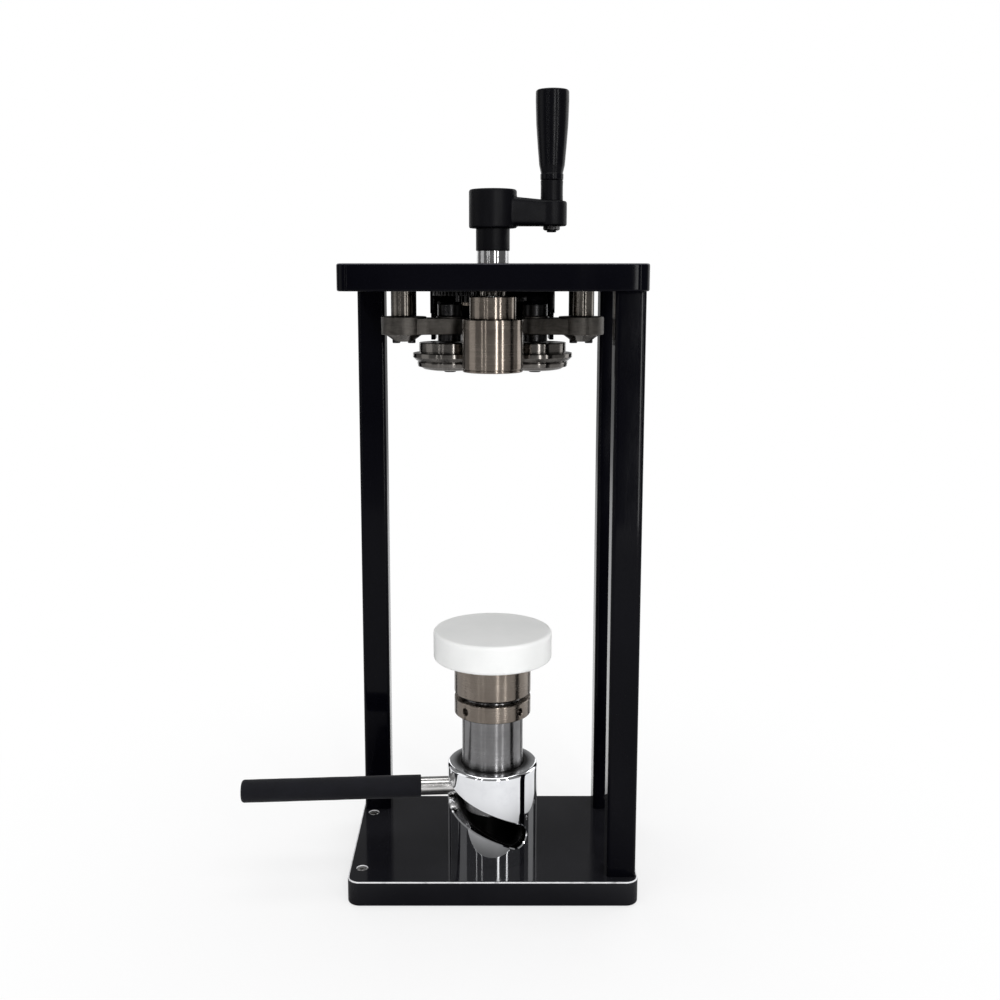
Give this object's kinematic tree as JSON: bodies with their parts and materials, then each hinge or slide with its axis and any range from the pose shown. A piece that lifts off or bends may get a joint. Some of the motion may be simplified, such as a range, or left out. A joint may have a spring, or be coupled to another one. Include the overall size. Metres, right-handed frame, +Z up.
{
  "type": "manual can seamer",
  "caption": "Benchtop hand-cranked can seamer: cranked spindle and chuck, two seaming rollers on swinging arms, and a lever-worked can lift in an open post frame.",
  "frame": {"origin": "on the underside of the base plate, where it rests on the bench, below the spindle axis", "axes": "+Z up along the spindle axis, +X to the operator's right, +Y to the back; the lever side is -Y"},
  "size_m": [0.3478, 0.169, 0.6853],
  "materials": {
    "black_gloss_paint": "gloss",
    "turned_steel": "turned, satin",
    "dark_steel": "machined, dark",
    "black_oxide_steel": "black oxide",
    "bright_steel": "bright",
    "chrome": "mirror plated",
    "black_plastic": "fine moulded",
    "grip_rubber": "matte foam",
    "white_nylon": "turned, translucent"
  },
  "bodies": {
    "frame": {"base_plate": "black_gloss_paint", "top_plate": "black_gloss_paint", "post_rear_left": "black_gloss_paint", "post_rear_right": "black_gloss_paint", "post_front_right": "black_gloss_paint", "post_top_screw_rear_left": "black_oxide_steel", "post_top_screw_rear_right": "black_oxide_steel", "post_top_screw_front_right": "black_oxide_steel", "post_base_screw_rear_left": "black_oxide_steel", "post_base_screw_rear_right": "black_oxide_steel", "post_base_screw_front_right": "black_oxide_steel", "base_screw_front_left": "bright_steel", "base_screw_rear_left": "bright_steel", "base_screw_front_right": "bright_steel", "base_screw_rear_right": "bright_steel", "guide_tube": "chrome", "guide_tube_screw_left": "black_oxide_steel", "guide_tube_screw_right": "black_oxide_steel", "pivot_post_left": "turned_steel", "pivot_post_right": "turned_steel", "drive_housing": "black_gloss_paint", "spindle_bearing_lower": "turned_steel", "spindle_bearing_upper": "turned_steel", "idler_pin": "turned_steel", "cam_pin": "turned_steel"},
    "spindle": {"spindle_shaft": "turned_steel", "crank_sleeve": "black_plastic", "crank_arm": "black_plastic", "drive_pinion": "dark_steel", "chuck_collar": "turned_steel", "seaming_chuck": "turned_steel", "chuck_screw": "black_oxide_steel", "grip_axle": "black_oxide_steel", "grip_axle_nut": "bright_steel"},
    "crank_grip": {"crank_grip": "black_plastic"},
    "idler": {"idler_gear": "black_oxide_steel"},
    "cam": {"cam_gear": "black_oxide_steel"},
    "arm_left": {"seaming_arm_left": "dark_steel", "pivot_cap_left": "dark_steel", "pivot_cap_screw_left_outer": "black_oxide_steel", "pivot_cap_screw_left_inner": "black_oxide_steel", "cam_follower_left": "turned_steel", "roller_axle_left": "black_oxide_steel", "roller_nut_left": "black_oxide_steel"},
    "roller_left": {"seaming_roller_left": "dark_steel"},
    "arm_right": {"seaming_arm_right": "dark_steel", "pivot_cap_right": "dark_steel", "pivot_cap_screw_right_outer": "black_oxide_steel", "pivot_cap_screw_right_inner": "black_oxide_steel", "cam_follower_right": "turned_steel", "roller_axle_right": "black_oxide_steel", "roller_nut_right": "black_oxide_steel"},
    "roller_right": {"seaming_roller_right": "dark_steel"},
    "lift_carriage": {"turntable_bearing": "bright_steel"},
    "lift_column": {"lift_shaft": "turned_steel", "lever_rod": "bright_steel", "lever_grip": "grip_rubber"},
    "lock_ring": {"lock_ring": "turned_steel"},
    "platform": {"turntable_cup": "turned_steel", "platform_disc": "white_nylon"}
  },
  "joints": [
    {"name": "crank_turn", "type": "hinge", "parent": "frame", "child": "spindle", "pos_m": [0, 0, 0.533], "axis": [0, 0, 1], "continuous": true},
    {"name": "grip_spin", "type": "hinge", "parent": "spindle", "child": "crank_grip", "pos_m": [0.049, 0, 0.65], "axis": [0, 0, 1], "continuous": true},
    {"name": "idler_turn", "type": "hinge", "parent": "frame", "child": "idler", "pos_m": [-0.02107, 0.034, 0.517], "axis": [0, 0, 1], "continuous": true},
    {"name": "cam_turn", "type": "hinge", "parent": "frame", "child": "cam", "pos_m": [0, 0.068, 0.51], "axis": [0, 0, 1], "continuous": true},
    {"name": "left_arm_swing", "type": "hinge", "parent": "frame", "child": "arm_left", "pos_m": [-0.0784, 0.045, 0.491], "axis": [0, 0, -1], "range_deg": [0, 5.5]},
    {"name": "right_arm_swing", "type": "hinge", "parent": "frame", "child": "arm_right", "pos_m": [0.0784, 0.045, 0.491], "axis": [0, 0, 1], "range_deg": [0, 5.5]},
    {"name": "left_roller_spin", "type": "hinge", "parent": "arm_left", "child": "roller_left", "pos_m": [-0.0378, 0.05, 0.464], "axis": [0, 0, 1], "continuous": true},
    {"name": "right_roller_spin", "type": "hinge", "parent": "arm_right", "child": "roller_right", "pos_m": [0.0378, 0.05, 0.464], "axis": [0, 0, 1], "continuous": true},
    {"name": "lift_rise", "type": "slide", "parent": "frame", "child": "lift_carriage", "axis": [0, 0, 1], "range_m": [-0.034, 0]},
    {"name": "lever_swing", "type": "hinge", "parent": "lift_carriage", "child": "lift_column", "pos_m": [0, 0, 0.083], "axis": [0, 0, 1], "range_deg": [0, 119]},
    {"name": "platform_spin", "type": "hinge", "parent": "lift_carriage", "child": "platform", "pos_m": [0, 0, 0.2], "axis": [0, 0, 1], "continuous": true},
    {"name": "lock_ring_turn", "type": "hinge", "parent": "lift_column", "child": "lock_ring", "pos_m": [0, 0, 0.1595], "axis": [0, 0, 1], "continuous": true}
  ],
  "couplings": [
    {"joint": "idler_turn", "follows": "crank_turn", "ratio": -0.33333},
    {"joint": "cam_turn", "follows": "crank_turn", "ratio": 0.11111},
    {"joint": "lift_rise", "follows": "lever_swing", "m_per_rad": -0.01637}
  ]
}
